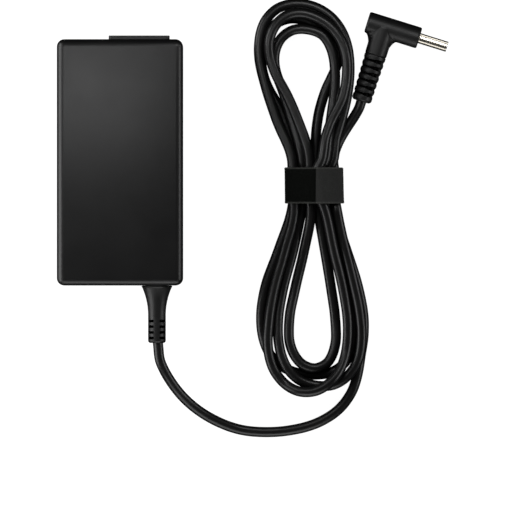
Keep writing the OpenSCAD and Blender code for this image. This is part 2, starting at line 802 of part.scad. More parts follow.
// The boot's outside runs along -Y from the case, and its neck and flange sit in the end wall
module cable_boot() {
    flare_l = 12.6;
    first_slot = flare_l + 2.6;
    slot_pitch = 2.45;
    flange_t = 2;
    flange_r = 6.4;
    color("#121213") {
        translate([boot_x, -half_l - gap / 2, mid_z]) rotate([90, 0, 0])
            slotted_sleeve(boot_l, boot_root_d / 2, boot_d / 2, flare_l, slot_w = 1.1,
                places = [for (k = [0:3]) first_slot + slot_pitch * k], spine_w = 2.7, floor_r = 2.5);
        translate([boot_x, -half_l - gap, mid_z]) along_y()
            tube(boot_neck_r, sleeve_bore_r, wall + 3 * gap);
        translate([boot_x, -half_l + wall + gap, mid_z]) along_y()
            tube(flange_r, sleeve_bore_r, flange_t);
    }
}

// ---- Strap ----

// The coil's rings under the strap and just beside it
strap_rings = [for (p = curve(control, lead_bend_i, tail_bend_i))
    if (abs(p[1] - strap_at[1]) < strap_w / 2 + 1.5) p];
strap_slack = 0.3;
hook_t = 0.5;
hook_l = 9;
hook_inner = strap_slack + strap_t + gap;
flap_inner = hook_inner + hook_t;
// The flap runs from this height on the bundle's right side over the top to this place
flap_pivot_z = 4.2;
flap_end_x = strap_at[0] + 1.9;

// Taut outline round all the strands inside the strap, grown by a clearance
module bundle_outline(grow) {
    hull() for (p = strap_rings) translate([p[0], p[2]]) circle(r = cable_r + grow, $fn = 24);
}

// A layer of the strap all the way round the bundle
module strap_layer(inner, thickness) {
    difference() {
        bundle_outline(inner + thickness);
        bundle_outline(inner);
    }
}

// Stretches an outline in x and z along the strap's width
module across_strap() {
    translate([0, strap_at[1] + strap_w / 2, 0]) rotate([90, 0, 0]) linear_extrude(strap_w) children();
}

// Keeps what lies above the flap's pivot, for a length from its free end
module from_free_end(length) {
    translate([flap_end_x, flap_pivot_z]) square([length, case_h]);
}

module strap_band() {
    color("#141614") across_strap() strap_layer(strap_slack, strap_t);
}

module strap_flap() {
    color("#2a2a2a") across_strap() intersection() {
        strap_layer(flap_inner, strap_t);
        from_free_end(2 * case_h);
    }
}

module strap_hooks() {
    color("#3a3a38") across_strap() intersection() {
        strap_layer(hook_inner, hook_t);
        from_free_end(hook_l);
    }
}

// ---- Plug ----

// The plug's own frame: the barrel along +X and the cable leaving along -Y
module at_plug() {
    translate([strap_at[0] + plug_at[0], strap_at[1] + plug_at[1], plug_z]) rotate([0, 0, -plug_turn])
        children();
}

arm_r = arm_d / 2;
arm_front = arm_l - arm_back;
barrel_root = 9;

// Turns its children so that their z axis points along the barrel, from x on
module along_barrel(x) {
    translate([x, 0, 0]) rotate([0, 90, 0]) children();
}

module plug_housing() {
    edge = 0.7;
    color("#141415") at_plug() difference() {
        union() {
            along_barrel(-arm_back) rotate_extrude() polygon([
                [0, 0], [arm_r - edge, 0], [arm_r, edge],
                [arm_r, arm_l - edge], [arm_r - edge, arm_l], [0, arm_l]
            ]);
            rotate([90, 0, 0]) rotate_extrude() polygon([
                [0, 0], [stem_r[0], 0], [stem_r[1], skirt_l - gap], [0, skirt_l - gap]
            ]);
        }
        along_barrel(arm_front - barrel_root) cylinder(r = collar_r + gap, h = barrel_root + 1);
    }
}

module plug_boot() {
    slot_w = 1.2;
    ribs_l = rib_count * rib_pitch;
    color("#131314") at_plug() translate([0, -skirt_l, 0]) rotate([90, 0, 0])
        slotted_sleeve(ribs_l, stem_r[1], stem_r[2], ribs_l - 1, slot_w,
            places = [for (k = [1:rib_count - 1]) rib_pitch * k - slot_w / 2],
            spine_w = 0, floor_r = 2.6);
}

// The barrel's four parts lie inside each other, each a loose fit in the next
collar_r = 3;
sleeve_r = barrel_d / 2 - 0.3;
insulator_r = sleeve_r - gap / 2;
contact_r = insulator_r - 0.3;
bore_r = contact_r - 0.25;
sleeve_l = barrel_root + barrel_l - gap;

// Starts the barrel's parts at the bottom of the arm's hole
module in_barrel() {
    at_plug() along_barrel(arm_front - barrel_root + gap) children();
}

// The sleeve that mates with the socket, on a collar buried in the arm
module plug_barrel() {
    color("#c4bfae") in_barrel() {
        tube(collar_r, sleeve_r, barrel_root - gap);
        tube(barrel_d / 2, sleeve_r, sleeve_l);
    }
}

module plug_insulator() {
    set_back = 0.3;
    color("#1a1a1a") in_barrel() tube(insulator_r, contact_r + gap / 2, sleeve_l - set_back);
}

module plug_inner_sleeve() {
    set_back = 0.9;
    color("#c9c4b4") in_barrel() tube(contact_r, bore_r, sleeve_l - set_back);
}

// Centre pin on a wider round foot
module plug_centre_pin() {
    pin_r = 0.4;
    foot_h = 3;
    set_back = 2.9;
    color("#d0cbbb") in_barrel() {
        cylinder(r = bore_r - gap / 2, h = foot_h);
        cylinder(r = pin_r, h = sleeve_l - set_back);
    }
}

top_cover();
bottom_cover();
rating_label();
ac_inlet_housing();
inlet_pins();
mains_wires();
circuit_board();
insulating_sheet();
bottom_heat_spreader();
top_heat_spreader();
thermal_pad();
fuse();
thermistor();
x_capacitor();
choke_core();
choke_windings();
bridge_rectifier();
bulk_capacitor();
primary_heatsink();
primary_transistor();
heatsink_screws();
transformer_core();
transformer_bobbin();
transformer_winding();
y_capacitor();
optocoupler();
controller_chip();
secondary_heatsink();
output_rectifier();
output_capacitors();
output_choke_core();
output_choke_winding();
output_wires();
cable_boot();
cable_lead();
cable_coil();
cable_tail();
strap_band();
strap_flap();
strap_hooks();
plug_housing();
plug_boot();
plug_barrel();
plug_insulator();
plug_inner_sleeve();
plug_centre_pin();
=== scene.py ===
"""Looks of a laptop power adapter: black case, wound cable in its strap, right-angle plug.

Lengths in this script are millimetres, turned into metres when a mesh or a light is made.
The CAD model gives every place: the cable's path, the strap's bundle and the plug's frame are
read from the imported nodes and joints.
"""

import json
import math

import bmesh
import bpy
import numpy as np
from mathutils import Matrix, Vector, noise


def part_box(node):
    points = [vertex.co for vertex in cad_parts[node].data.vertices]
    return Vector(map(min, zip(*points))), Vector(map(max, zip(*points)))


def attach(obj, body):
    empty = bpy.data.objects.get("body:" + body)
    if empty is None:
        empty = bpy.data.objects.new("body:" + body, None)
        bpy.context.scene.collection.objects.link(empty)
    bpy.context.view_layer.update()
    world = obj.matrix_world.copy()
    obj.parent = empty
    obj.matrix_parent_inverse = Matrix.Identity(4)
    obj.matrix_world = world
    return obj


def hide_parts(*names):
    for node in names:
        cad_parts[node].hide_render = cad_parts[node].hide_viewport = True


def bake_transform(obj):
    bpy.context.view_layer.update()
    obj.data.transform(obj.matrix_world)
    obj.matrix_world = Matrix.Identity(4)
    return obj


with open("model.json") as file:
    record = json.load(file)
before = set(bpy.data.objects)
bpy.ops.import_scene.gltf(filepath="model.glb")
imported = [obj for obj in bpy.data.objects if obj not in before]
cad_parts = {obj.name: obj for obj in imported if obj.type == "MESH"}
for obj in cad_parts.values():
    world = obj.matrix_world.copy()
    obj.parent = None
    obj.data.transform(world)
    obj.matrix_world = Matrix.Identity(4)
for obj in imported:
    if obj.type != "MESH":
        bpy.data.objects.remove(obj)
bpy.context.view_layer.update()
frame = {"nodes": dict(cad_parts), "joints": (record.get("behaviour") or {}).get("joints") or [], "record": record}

# Without a seed, noise_vector gives other values in each run
noise.seed_set(1)

MM = 0.001
UP = np.array([0.0, 0.0, 1.0])
JOINTS = {joint["name"]: joint for joint in frame["joints"]}
SLOT_OF = {part["node"]: part["material_slot"] for part in frame["record"]["subparts"]}
BASE_COLOUR = {m["slot"]: m["base_color"] for m in frame["record"]["materials"]}


# ---- Reading the frame ----

def node_box(node):
    """Lowest and highest corner of a CAD node, in millimetres."""
    low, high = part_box(node)
    return np.array(low) / MM, np.array(high) / MM


def joint_place(name):
    """A joint's position in millimetres."""
    return np.array(JOINTS[name]["pos_m"]) / MM


def merged_corners(mesh):
    """The distinct corners of a mesh in millimetres, and for each vertex its corner's number."""
    flat = np.empty(len(mesh.vertices) * 3)
    mesh.vertices.foreach_get("co", flat)
    points, same = np.unique(np.round(flat.reshape(-1, 3) / MM, 3), axis=0, return_inverse=True)
    return points, same.ravel()


def node_corners(node):
    """The distinct corners of a CAD node, and for each the corners it shares an edge with."""
    mesh = frame["nodes"][node].data
    points, same = merged_corners(mesh)
    ends = np.empty(len(mesh.edges) * 2, int)
    mesh.edges.foreach_get("vertices", ends)
    linked = [set() for _ in points]
    for a, b in same[ends.reshape(-1, 2)]:
        linked[a].add(b)
        linked[b].add(a)
    return points, linked


def ring_centres(node, start):
    """Centres of a swept CAD cable's rings in order, from the end that is nearest to start.

    The end point of the cable is one corner, its neighbours are the first ring, their new
    neighbours the second, and so on to the other end.
    """
    points, linked = node_corners(node)
    level = {int(np.argmin(np.linalg.norm(points - start, axis=1)))}
    seen = set(level)
    centres = []
    while level:
        centres.append(points[sorted(level)].mean(axis=0))
        level = set().union(*(linked[corner] for corner in level)) - seen
        seen |= level
    return centres


case_low, _ = node_box("bottom_cover")
boot_low, boot_high = node_box("cable_boot")
flap_low, _ = node_box("strap_flap")
lead_pivot = joint_place("lead_bend")
tail_pivot = joint_place("plug_swing")
strap_place = joint_place("strap_peel")


# ---- Curves ----

def smooth_curve(points, step):
    """A smooth curve through points, resampled at an even step along its length."""
    points = np.array(points)
    before = np.vstack([2 * points[0] - points[1], points[:-1]])
    after = np.vstack([points[1:], 2 * points[-1] - points[-2]])
    gap_in = np.linalg.norm(points - before, axis=1, keepdims=True)
    gap_out = np.linalg.norm(after - points, axis=1, keepdims=True)
    slopes = (points - before) * (gap_out / gap_in) + (after - points) * (gap_in / gap_out)
    slopes /= gap_in + gap_out
    t = np.linspace(0, 1, 16, endpoint=False)[:, None]
    dense = [
        b * ((1 - t) ** 2 * (1 + 2 * t)) + c * (t * t * (3 - 2 * t))
        + (m * (t * (1 - t) ** 2) - n * (t * t * (1 - t))) * np.linalg.norm(c - b)
        for b, c, m, n in zip(points[:-1], points[1:], slopes[:-1], slopes[1:])
    ]
    dense = np.vstack(dense + [points[-1:]])
    along = np.concatenate([[0], np.cumsum(np.linalg.norm(np.diff(dense, axis=0), axis=1))])
    even = np.linspace(0, along[-1], int(round(along[-1] / step)) + 1)
    return np.stack([np.interp(even, along, dense[:, axis]) for axis in range(3)], axis=1)


def smoothstep(value, low, high):
    """0 below low, 1 above high, and a smooth rise between them."""
    t = np.clip((value - low) / (high - low), 0, 1)
    return t * t * (3 - 2 * t)


# ---- Meshes ----

def make_object(name, points, faces, smooth=True):
    """A mesh object from points in millimetres."""
    mesh = bpy.data.meshes.new(name)
    mesh.from_pydata((np.array(points, float) * MM).tolist(), [], faces)
    mesh.polygons.foreach_set("use_smooth", [smooth] * len(mesh.polygons))
    mesh.update()
    made = bpy.data.objects.new(name, mesh)
    bpy.context.scene.collection.objects.link(made)
    return made


def skin(rings, wrap_rows=False, caps=True):
    """Points and faces of a surface through rings of points, each ring closed.

    wrap_rows joins the last ring to the first. caps closes the first and the last ring.
    """
    rows, count = rings.shape[:2]
    faces = []
    for i in range(rows if wrap_rows else rows - 1):
        here, there = i * count, (i + 1) % rows * count
        for k in range(count):
            n = (k + 1) % count
            faces.append((here + k, here + n, there + n, there + k))
    if caps and not wrap_rows:
        faces.append(tuple(range(count))[::-1])
        faces.append(tuple((rows - 1) * count + k for k in range(count)))
    return rings.reshape(-1, 3), faces


def sharpen_caps(piece):
    """Marks the rims of a skin's two caps as sharp, so that its side is shaded on its own."""
    mesh = piece.data
    caps = [set(mesh.polygons[i].vertices) for i in (-2, -1)]
    for edge in mesh.edges:
        if any(set(edge.vertices) <= cap for cap in caps):
            edge.use_edge_sharp = True


def add_uv(piece, along, count):
    """UVs for a capped skin: u is the turn round each ring, and v the place along it in metres."""
    turn = np.arange(count) / count
    corners = np.zeros((len(along) - 1, count, 4, 2))
    corners[..., 0] = np.stack([turn, turn + 1 / count, turn + 1 / count, turn], axis=-1)
    corners[:, :, :2, 1] = along[:-1, None, None] * MM
    corners[:, :, 2:, 1] = along[1:, None, None] * MM
    flat = np.zeros(2 * len(piece.data.loops))
    flat[:corners.size] = corners.ravel()
    piece.data.uv_layers.new(name="along").data.foreach_set("uv", flat)


# ---- Materials ----

def add_node(tree, kind, inputs=None, **settings):
    """A shader node with its settings, and each input set to a value or linked to a socket."""
    made = tree.nodes.new(kind)
    for key, value in settings.items():
        setattr(made, key, value)
    for key, value in (inputs or {}).items():
        if isinstance(value, bpy.types.NodeSocket):
            tree.links.new(value, made.inputs[key])
        else:
            made.inputs[key].default_value = value
    return made


class Finish:
    """A principled material that is built up in layers of colour, roughness and relief."""

    def __init__(self, slot, roughness, metallic=0.0, specular=0.5):
        self.material = bpy.data.materials.new(slot + "_finish")
        self.material.use_nodes = True
        self.tree = self.material.node_tree
        self.tree.nodes.clear()
        self.place = add_node(self.tree, "ShaderNodeTexCoord").outputs["Object"]
        self.colour = add_node(self.tree, "ShaderNodeRGB").outputs[0]
        self.colour.default_value = tuple(BASE_COLOUR[slot]) + (1.0,)
        self.roughness = add_node(self.tree, "ShaderNodeValue").outputs[0]
        self.roughness.default_value = roughness
        self.normal = None
        self.shader = add_node(self.tree, "ShaderNodeBsdfPrincipled",
                               {"Metallic": metallic, "Specular IOR Level": specular})

    def math(self, operation, a, b=0.0, clamp=False):
        """The result of one calculation."""
        return add_node(self.tree, "ShaderNodeMath", {0: a, 1: b},
                        operation=operation, use_clamp=clamp).outputs[0]

    def spread(self, value, low, high):
        """value stretched so that low becomes 0 and high becomes 1."""
        return add_node(self.tree, "ShaderNodeMapRange",
                        {"Value": value, "From Min": low, "From Max": high}).outputs["Result"]

    def stretched(self, x, y, z):
        """The object's coordinates with each axis scaled."""
        return add_node(self.tree, "ShaderNodeMapping",
                        {"Vector": self.place, "Scale": (x, y, z)}).outputs["Vector"]

    def noise(self, size, detail=3.0, place=None, rough=0.5):
        """Cloudy noise whose features are about size millimetres wide."""
        return add_node(self.tree, "ShaderNodeTexNoise", {
            "Vector": place or self.place, "Scale": 1 / (size * MM),
            "Detail": detail, "Roughness": rough
        }).outputs["Fac"]

    def cells(self, size, feature="F1"):
        """Distance from the nearest of scattered points, about size millimetres apart."""
        return add_node(self.tree, "ShaderNodeTexVoronoi",
                        {"Vector": self.place, "Scale": 1 / (size * MM)},
                        feature=feature).outputs["Distance"]

    def bands(self, size, direction, distortion=0.0):
        """Soft bands, size millimetres apart, across an axis."""
        return add_node(self.tree, "ShaderNodeTexWave", {
            "Vector": self.place, "Scale": 0.314 / (size * MM), "Distortion": distortion
        }, bands_direction=direction).outputs["Fac"]

    def edges(self, radius):
        """1 along worn edges and corners, and 0 on flat faces."""
        bevel = add_node(self.tree, "ShaderNodeBevel", {"Radius": radius * MM}, samples=4)
        flat = add_node(self.tree, "ShaderNodeNewGeometry").outputs["Normal"]
        same = add_node(self.tree, "ShaderNodeVectorMath", {0: bevel.outputs[0], 1: flat},
                        operation="DOT_PRODUCT").outputs["Value"]
        return self.spread(same, 0.995, 0.85)

    def tint(self, amount, colour):
        """Mixes a colour in where amount is high."""
        self.colour = add_node(self.tree, "ShaderNodeMix", {
            "Factor": amount, 6: self.colour, 7: tuple(colour) + (1.0,)
        }, data_type="RGBA").outputs[2]

    def shade(self, amount, darkest, lightest):
        """Scales the brightness of the colour by a factor that follows amount."""
        factor = add_node(self.tree, "ShaderNodeMapRange",
                          {"Value": amount, "To Min": darkest, "To Max": lightest}).outputs["Result"]
        self.colour = add_node(self.tree, "ShaderNodeVectorMath", {0: self.colour, "Scale": factor},
                               operation="SCALE").outputs[0]

    def rougher(self, amount, change):
        """Adds amount times change to the roughness."""
        added = self.math("MULTIPLY", amount, change)
        self.roughness = self.math("ADD", self.roughness, added, clamp=True)

    def relief(self, height, depth):
        """Raises the surface by depth millimetres where height is 1."""
        inputs = {"Height": height, "Distance": depth * MM, "Strength": 1.0}
        if self.normal:
            inputs["Normal"] = self.normal
        self.normal = add_node(self.tree, "ShaderNodeBump", inputs).outputs["Normal"]

    def paint_shade_in_slots(self, reach):
        """Paints shade into places shut in by walls closer than reach millimetres: their colour and specular level
        are darkened there.
        """
        open_sky = add_node(self.tree, "ShaderNodeAmbientOcclusion",
                            {"Distance": reach * MM}, samples=6)
        # Painted shade: 1 in the open, falling towards 0 deep in slots and grooves
        painted_shade_scale = self.spread(open_sky.outputs["AO"], 0.55, 1.0)
        level = self.shader.inputs["Specular IOR Level"]
        self.tree.links.new(self.math("MULTIPLY", painted_shade_scale, level.default_value), level)
        self.shade(painted_shade_scale, 0.2, 1.0)

    def done(self):
        """The finished material."""
        link = self.tree.links.new
        link(self.colour, self.shader.inputs["Base Color"])
        link(self.roughness, self.shader.inputs["Roughness"])
        if self.normal:
            link(self.normal, self.shader.inputs["Normal"])
        output = add_node(self.tree, "ShaderNodeOutputMaterial")
        link(self.shader.outputs["BSDF"], output.inputs["Surface"])
        return self.material


def moulded(slot, roughness, grain, grain_depth):
    """Injection moulded plastic: spark-eroded grain, faint flow clouds and polished edges."""
    finish = Finish(slot, roughness)
    clouds = finish.noise(18, detail=4)
    texture = finish.noise(grain, detail=2, rough=0.6)
    edges = finish.edges(0.25)
    finish.shade(clouds, 0.85, 1.15)
    finish.tint(finish.math("MULTIPLY", edges, 0.25), (0.05, 0.05, 0.052))
    finish.rougher(finish.math("SUBTRACT", clouds, 0.5), 0.12)
    finish.rougher(edges, -0.1)
    finish.relief(texture, grain_depth)
    return finish.done()


def cable_jacket():
    """Extruded jacket: fine lines along the cable, and slow changes of gloss."""
    finish = Finish("cable_jacket", 0.34)
    uv = add_node(finish.tree, "ShaderNodeUVMap", uv_map="along").outputs["UV"]
    drawn_out = add_node(finish.tree, "ShaderNodeMapping", {"Vector": uv, "Scale": (60, 25, 1)})
    lines = add_node(finish.tree, "ShaderNodeTexNoise",
                     {"Vector": drawn_out.outputs[0], "Scale": 1, "Detail": 2}).outputs["Fac"]
    matt = finish.noise(9, detail=3)
    fine = finish.noise(0.25, detail=2)
    finish.shade(matt, 0.8, 1.2)
    finish.rougher(finish.math("SUBTRACT", matt, 0.5), 0.12)
    finish.rougher(finish.math("SUBTRACT", lines, 0.5), 0.1)
    finish.relief(lines, 0.008)
    finish.relief(fine, 0.006)
    return finish.done()


def soft_moulding(slot, roughness):
    """Overmoulded flexible plastic: fine matt grain with smooth, slightly shiny high spots, and painted shade in
    its slots.
    """
    finish = Finish(slot, roughness)
    clouds = finish.noise(4, detail=3)
    finish.shade(clouds, 0.8, 1.2)
    finish.rougher(finish.math("SUBTRACT", clouds, 0.5), 0.16)
    finish.rougher(finish.edges(0.3), -0.08)
    finish.relief(finish.noise(0.18, detail=2), 0.008)
    # Painted shade: the colour and specular level are darkened where walls shut the slots in
    finish.paint_shade_in_slots(1.8)
    return finish.done()


def plated(slot, roughness):
    """Plated metal: small scuffs and a slightly tarnished film."""
    finish = Finish(slot, roughness, metallic=1.0)
    film = finish.noise(2.5, detail=4)
    scuffs = finish.noise(0.5, detail=5, place=finish.stretched(1, 1, 0.15), rough=0.7)
    finish.shade(film, 0.88, 1.06)
    finish.rougher(finish.spread(scuffs, 0.45, 0.75), 0.08)
    finish.relief(scuffs, 0.0006)
    return finish.done()


# The strap's paler edge starts, and is at its palest, at these distances from the strap's middle
SELVEDGE = (6.9, 7.3)


def loop_fabric(slot, weave_size, pile, contrast, sheen):
    """Strap fabric: a woven ground under a matted pile of fine fibres, and a paler selvedge."""
    finish = Finish(slot, 0.9, specular=0.04)
    fibres = finish.noise(0.3, detail=6, rough=0.7)
    tufts = finish.cells(0.6)
    warp = finish.bands(weave_size, "Y", 1.5)
    weft = finish.bands(weave_size, "X", 1.5)
    matted = finish.noise(3, detail=3)
    finish.shade(fibres, 1 - contrast, 1 + contrast)
    finish.shade(tufts, 0.9, 1.1)
    finish.shade(matted, 0.9, 1.1)
    y = add_node(finish.tree, "ShaderNodeSeparateXYZ", {"Vector": finish.place}).outputs["Y"]
    from_middle = finish.math("ABSOLUTE", finish.math("SUBTRACT", y, strap_place[1] * MM))
    selvedge = finish.spread(from_middle, SELVEDGE[0] * MM, SELVEDGE[1] * MM)
    finish.tint(finish.math("MULTIPLY", selvedge, fibres), (0.09, 0.092, 0.085))
    finish.relief(finish.math("MULTIPLY", warp, weft), 0.03)
    finish.relief(fibres, pile)
    finish.shader.inputs["Sheen Weight"].default_value = sheen
    finish.shader.inputs["Sheen Roughness"].default_value = 0.5
    return finish.done()


def printed_film(slot):
    """Blank rating label: satin film with a faint print screen."""
    finish = Finish(slot, 0.35)
    screen = finish.cells(0.35)
    finish.shade(screen, 0.9, 1.1)
    finish.shade(finish.noise(8), 0.92, 1.08)
    finish.relief(finish.noise(0.5), 0.01)
    return finish.done()


def laminate(slot):
    """Circuit board: solder mask over copper tracks, with the glass weave showing through."""
    finish = Finish(slot, 0.3)
    tracks = finish.spread(finish.cells(3.2, feature="DISTANCE_TO_EDGE"), 0.08, 0.12)
    weave = finish.math("MULTIPLY", finish.bands(0.6, "X"), finish.bands(0.6, "Y"))
    finish.tint(tracks, (0.04, 0.22, 0.09))
    finish.shade(weave, 0.9, 1.1)
    finish.relief(tracks, 0.035)
    return finish.done()


def rolled_metal(slot, roughness):
    """Sheet metal with rolling lines and handling marks."""
    finish = Finish(slot, roughness, metallic=1.0)
    lines = finish.noise(0.3, detail=4, place=finish.stretched(1, 0.02, 1))
    marks = finish.noise(5, detail=5, rough=0.7)
    finish.shade(marks, 0.85, 1.1)
    finish.rougher(lines, 0.15)
    finish.relief(lines, 0.01)
    return finish.done()


def wound(slot, pitch, direction, roughness, metallic):
    """Turns of wire or tape: regular round ridges, painted shade in the grooves between them, and small changes of
    tone.
    """
    finish = Finish(slot, roughness, metallic=metallic)
    ridges_and_groove_shade = finish.bands(pitch, direction)
    # Painted shade: the colour darkens in the valleys between the turns, where the relief is low
    finish.shade(ridges_and_groove_shade, 0.5, 1.1)
    finish.shade(finish.noise(1.5), 0.85, 1.15)
    finish.relief(ridges_and_groove_shade, pitch * 0.25)
    return finish.done()


def mottled(slot, roughness, size, contrast, depth, metallic=0.0):
    """A plain part with grain: speckle of one size in tone, gloss and relief."""
    finish = Finish(slot, roughness, metallic=metallic)
    speckle = finish.noise(size, detail=5, rough=0.65)
    clouds = finish.noise(size * 14, detail=3)
    finish.shade(speckle, 1 - contrast, 1 + contrast)
    finish.shade(clouds, 0.9, 1.1)
    finish.rougher(finish.math("SUBTRACT", speckle, 0.5), 0.15)
    finish.relief(speckle, depth)
    return finish.done()


FINISHES = {
    "case_plastic": moulded("case_plastic", 0.39, 0.16, 0.006),
    "label_film": printed_film("label_film"),
    "inlet_plastic": moulded("inlet_plastic", 0.5, 0.2, 0.01),
    "nickel": plated("nickel", 0.24),
    "wire_insulation": mottled("wire_insulation", 0.35, 0.4, 0.12, 0.01),
    "board_laminate": laminate("board_laminate"),
    "insulating_film": mottled("insulating_film", 0.3, 1.2, 0.1, 0.01),
    "aluminium_sheet": rolled_metal("aluminium_sheet", 0.35),
    "thermal_pad": mottled("thermal_pad", 0.8, 0.3, 0.2, 0.03),
    "component_plastic": mottled("component_plastic", 0.5, 0.12, 0.2, 0.01),
    "disc_coating": mottled("disc_coating", 0.25, 1.0, 0.12, 0.05),
    "film_capacitor": mottled("film_capacitor", 0.3, 0.6, 0.1, 0.01),
    "ferrite": mottled("ferrite", 0.6, 0.15, 0.35, 0.02),
    "copper_wire": wound("copper_wire", 0.7, "Z", 0.3, 1.0),
    "capacitor_sleeve": mottled("capacitor_sleeve", 0.3, 0.8, 0.1, 0.01),
    "steel_screw": mottled("steel_screw", 0.35, 0.2, 0.15, 0.01, metallic=1.0),
    "bobbin_plastic": mottled("bobbin_plastic", 0.45, 0.3, 0.1, 0.01),
    "winding_tape": wound("winding_tape", 1.9, "Z", 0.25, 0.0),
    "boot_rubber": soft_moulding("boot_rubber", 0.46),
    "cable_jacket": cable_jacket(),
    "strap_tape": loop_fabric("strap_tape", 0.45, 0.04, 0.25, 0.01),
    "strap_loop": loop_fabric("strap_loop", 0.5, 0.12, 0.45, 0.05),
    "strap_hook": loop_fabric("strap_hook", 0.9, 0.1, 0.4, 0.05),
    "plug_plastic": soft_moulding("plug_plastic", 0.46),
}


def give_finish(piece, slot):
    """Puts the finish of a material slot on a piece."""
    piece.data.materials.clear()
    piece.data.materials.append(FINISHES[slot])


for cad_name, cad_node in frame["nodes"].items():
    give_finish(cad_node, SLOT_OF[cad_name])


def place_piece(piece, body, node):
    """Gives a piece the finish of a CAD node, lets it ride on a body, and shows it for the node."""
    slot = SLOT_OF[node]
    give_finish(piece, slot)
    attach(piece, body)
    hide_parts(node)


# ---- CAD nodes with rounded edges ----

def rounded_copy(node, name, body, width):
    """A copy of a CAD node with flat faces merged and sharp edges rounded, which replaces it."""
    mesh = frame["nodes"][node].data
    points, same = merged_corners(mesh)
    faces = [tuple(same[v] for v in polygon.vertices) for polygon in mesh.polygons]
    piece = make_object(name, points, [face for face in faces if len(set(face)) == len(face)])
    work = bmesh.new()
    work.from_mesh(piece.data)
    bmesh.ops.dissolve_limit(
        work, angle_limit=math.radians(0.5), verts=work.verts, edges=work.edges
    )
    work.to_mesh(piece.data)
    work.free()
    bevel = piece.modifiers.new("rounding", "BEVEL")
    bevel.width = width * MM
    bevel.segments = 3
    bevel.limit_method = "ANGLE"
    bevel.angle_limit = math.radians(40)
    bevel.harden_normals = True
    place_piece(piece, body, node)


rounded_copy("top_cover", "case_top", "adapter", 0.22)
rounded_copy("bottom_cover", "case_bottom", "adapter", 0.22)
rounded_copy("ac_inlet_housing", "inlet_housing", "adapter", 0.3)
rounded_copy("inlet_pins", "inlet_contact_pins", "adapter", 0.2)


# ---- Cable ----

# The jacket is a little fuller than the CAD cable, whose rings have only a few sides
cable_r = 2.2
cable_sides = 20
cable_step = 1.25

boot_x = (boot_low[0] + boot_high[0]) / 2
boot_z = (boot_low[2] + boot_high[2]) / 2
# The lead's inner end is a little beyond the boot, inside the case
lead_rings = ring_centres("cable_lead", (boot_x, boot_high[1] + 6, boot_high[2]))
coil_rings = ring_centres("cable_coil", lead_pivot)
tail_rings = ring_centres("cable_tail", tail_pivot)
# Two rings at each joint belong to the CAD cable's domed ends, so the joint takes their place
cable_path = smooth_curve(
    lead_rings[:-2] + [lead_pivot] + coil_rings[2:-2] + [tail_pivot] + tail_rings[2:], cable_step
)
# It rests on the table at its lowest
cable_path[:, 2] = np.maximum(cable_path[:, 2], cable_r)
cable_along = np.arange(len(cable_path)) * cable_step


def nearest_on_cable(place):
    """Number of the cable's ring that is nearest to a place."""
    return int(np.argmin(np.linalg.norm(cable_path - place, axis=1)))


def cable_piece(name, first, last):
    """One stretch of the cable, from one of its rings to another."""
    heading = np.gradient(cable_path, axis=0)
    heading /= np.linalg.norm(heading, axis=1, keepdims=True)
    side = np.cross(UP, heading)
    side /= np.linalg.norm(side, axis=1, keepdims=True)
    top = np.cross(heading, side)
    turn = np.arange(cable_sides) * 2 * math.pi / cable_sides
    rings = cable_path[:, None] + cable_r * (
        side[:, None] * np.cos(turn)[None, :, None] + top[:, None] * np.sin(turn)[None, :, None]
    )
    piece = make_object(name, *skin(rings[first:last + 1]))
    sharpen_caps(piece)
    add_uv(piece, cable_along[first:last + 1], cable_sides)
    give_finish(piece, "cable_jacket")
    return piece


# The cable's pieces meet about this length from a joint, and closer to the joint beside the plug
bend_reach = 20.0
lead_pivot_ring = nearest_on_cable(lead_pivot)
tail_pivot_ring = nearest_on_cable(tail_pivot)
reach_rings = int(bend_reach / cable_step)
lead_end = lead_pivot_ring + reach_rings
tail_start = tail_pivot_ring - int(0.6 * reach_rings)

cable_from_case = cable_piece("cable_from_case", 0, lead_end)
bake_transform(cable_from_case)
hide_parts("cable_lead")

cable_bundle = cable_piece("cable_bundle", lead_end, tail_start)
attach(cable_bundle, "coil")
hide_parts("cable_coil")

cable_to_plug = cable_piece("cable_to_plug", tail_start, len(cable_path) - 1)
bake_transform(cable_to_plug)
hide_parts("cable_tail")


# ---- Turned and grooved mouldings ----

def rounded_outline(corners, radius, closed=False):
    """An outline through corners, each turned into an arc where there is room for one."""
    corners = [np.array(corner, float) for corner in corners]
    made = []
    for i, corner in enumerate(corners):
        if not closed and i in (0, len(corners) - 1):
            made.append(corner)
            continue
        before = corners[i - 1] - corner
        after = corners[(i + 1) % len(corners)] - corner
        room = min(radius, np.linalg.norm(before) * 0.45, np.linalg.norm(after) * 0.45)
        a = corner + before / np.linalg.norm(before) * room
        b = corner + after / np.linalg.norm(after) * room
        for t in np.linspace(0, 1, 5):
            made.append(a * (1 - t) ** 2 + corner * 2 * t * (1 - t) + b * t * t)
    return np.array(made)


def filled_in(outline, step):
    """A closed outline with points added so that none are further apart than step."""
    made = []
    for a, b in zip(outline, np.roll(outline, -1, axis=0)):
        pieces = max(1, math.ceil(np.linalg.norm(b - a) / step))
        made.extend(a + (b - a) * k / pieces for k in range(pieces))
    return np.array(made)


def turned(outline, count, origin, axis, across, cut=None):
    """Rings of a shape turned about an axis, from (along, radius) points.

    cut(along, radius, lateral) returns a new radius, where lateral is the distance from the
    plane through the axis and up.
    """
    origin, axis, across = (np.array(v, float) for v in (origin, axis, across))
    turn = np.arange(count) * 2 * math.pi / count
    radius = np.repeat(outline[:, 1:], count, axis=1)
    along = np.repeat(outline[:, :1], count, axis=1)
    if cut:
        radius = cut(along, radius, radius * np.cos(turn))
    top = np.cross(axis, across)
    spokes = across * np.cos(turn)[:, None] + top * np.sin(turn)[:, None]
    return origin + axis * along[..., None] + radius[..., None] * spokes


